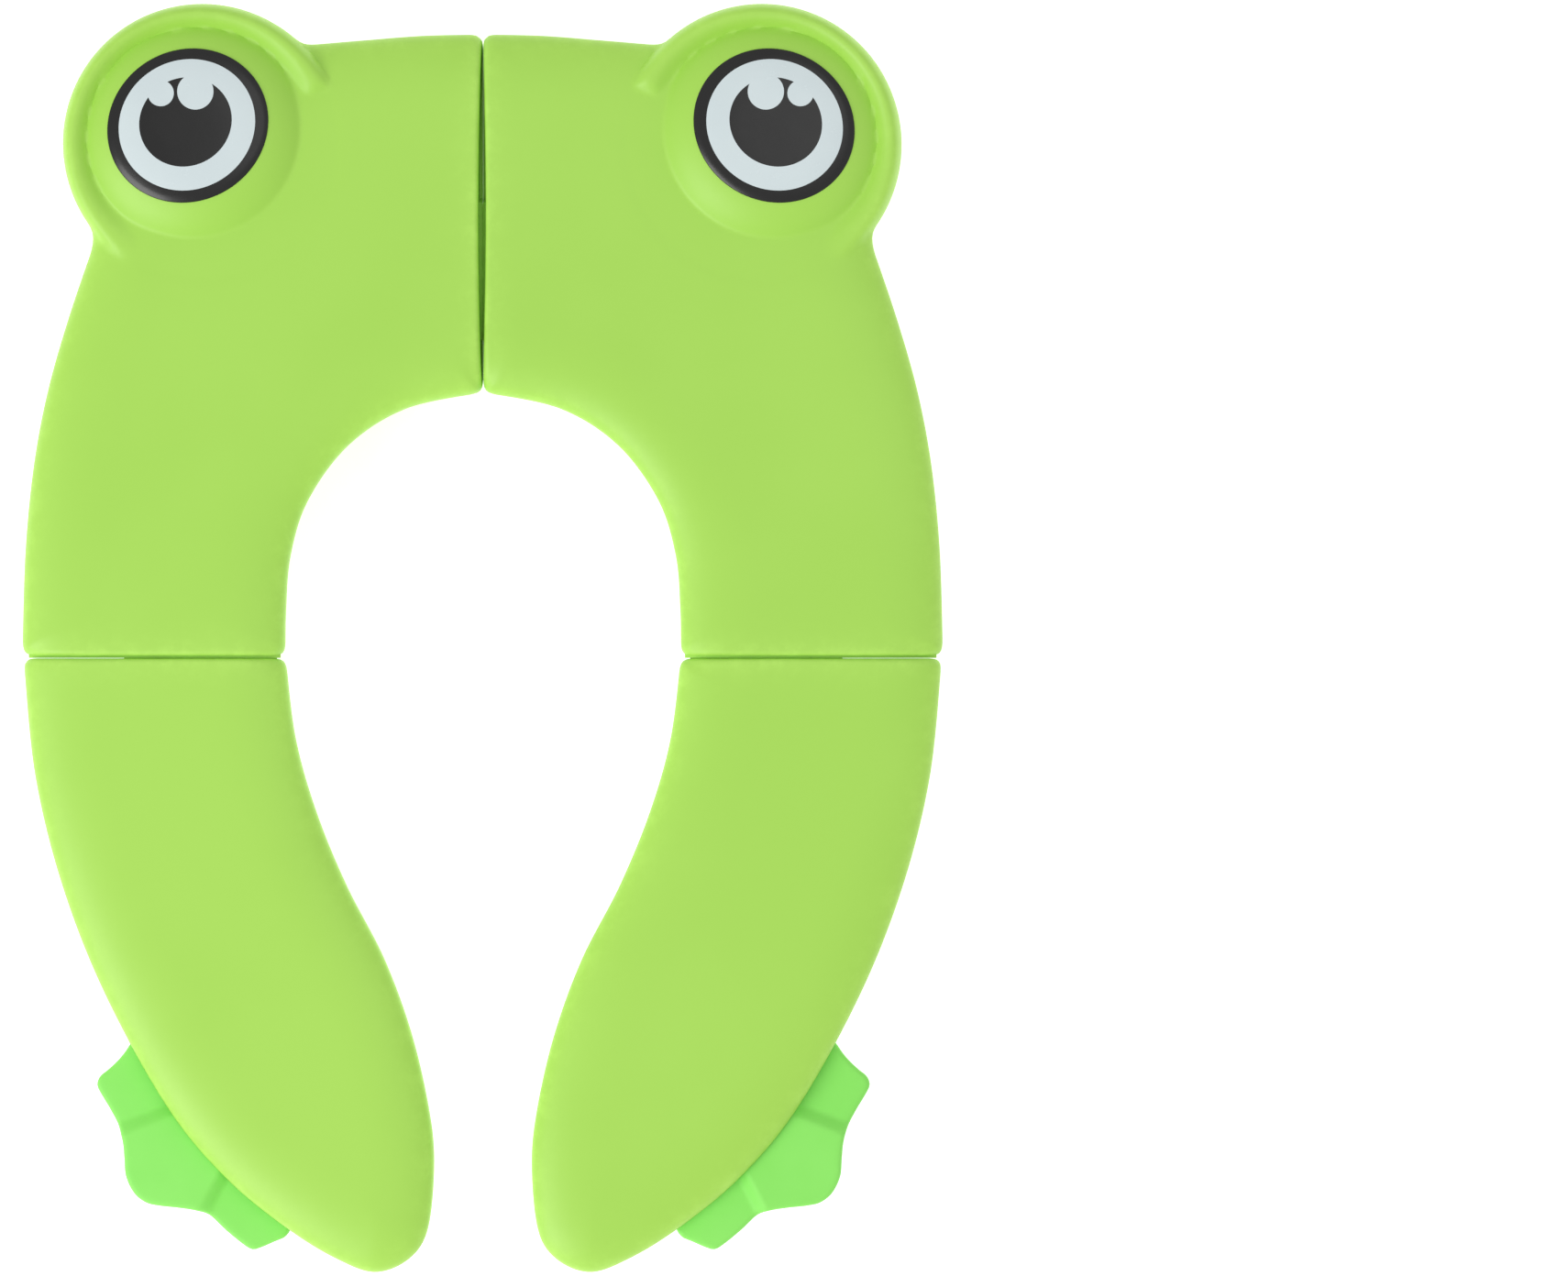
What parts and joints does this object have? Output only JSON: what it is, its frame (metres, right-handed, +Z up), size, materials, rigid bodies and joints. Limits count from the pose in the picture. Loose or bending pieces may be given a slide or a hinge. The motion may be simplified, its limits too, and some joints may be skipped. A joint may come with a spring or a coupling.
{
  "type": "folding toilet training seat",
  "caption": "Frog-shaped folding toilet training seat: hinged plastic shells round an oval opening, open at the front, with printed eyes, soft feet and anti-slip pads.",
  "frame": {"origin": "on the middle seam, halfway along the seat, at the soles of the anti-slip pads", "axes": "+Y from the open front towards the eyes at the rear, +Z up out of the seat's sitting face, +X to the seat's right seen from above with the eyes at the top"},
  "size_m": [0.2754, 0.3797, 0.0221],
  "materials": {
    "shell": "satin moulded polypropylene, light frog green",
    "hinge": "satin moulded plastic, slightly deeper green",
    "foot": "soft matt thermoplastic rubber, mint green",
    "eye_print": "glossy printed label, black rings on white",
    "pad": "pale translucent silicone, matt",
    "pin": "bright drawn stainless wire"
  },
  "bodies": {
    "rear_left": {"rear_left_shell": "shell", "left_eye_disc": "eye_print", "left_side_hinge_pin": "pin", "left_spine_pin": "pin", "rear_left_pad_1": "pad", "rear_left_pad_2": "pad"},
    "front_left": {"front_left_shell": "shell", "left_foot_grip": "foot", "front_left_pad_1": "pad", "front_left_pad_2": "pad"},
    "spine": {"spine_link": "hinge"},
    "rear_right": {"rear_right_shell": "shell", "right_eye_disc": "eye_print", "right_side_hinge_pin": "pin", "right_spine_pin": "pin", "rear_right_pad_1": "pad", "rear_right_pad_2": "pad"},
    "front_right": {"front_right_shell": "shell", "right_foot_grip": "foot", "front_right_pad_1": "pad", "front_right_pad_2": "pad"}
  },
  "joints": [
    {"name": "left_fold", "type": "hinge", "parent": "rear_left", "child": "front_left", "pos_m": [-0.085, -0.0056, 0.0026], "axis": [1, 0, 0], "range_deg": [0, 180]},
    {"name": "spine_left", "type": "hinge", "parent": "rear_left", "child": "spine", "pos_m": [-0.0124, 0.11015, 0.0026], "axis": [0, 1, 0], "range_deg": [0, 90]},
    {"name": "spine_right", "type": "hinge", "parent": "spine", "child": "rear_right", "pos_m": [0.0124, 0.11015, 0.0026], "axis": [0, 1, 0], "range_deg": [0, 90]},
    {"name": "right_fold", "type": "hinge", "parent": "rear_right", "child": "front_right", "pos_m": [0.085, -0.0056, 0.0026], "axis": [1, 0, 0], "range_deg": [0, 180]}
  ],
  "couplings": [
    {"joint": "spine_right", "follows": "spine_left", "ratio": 1}
  ]
}
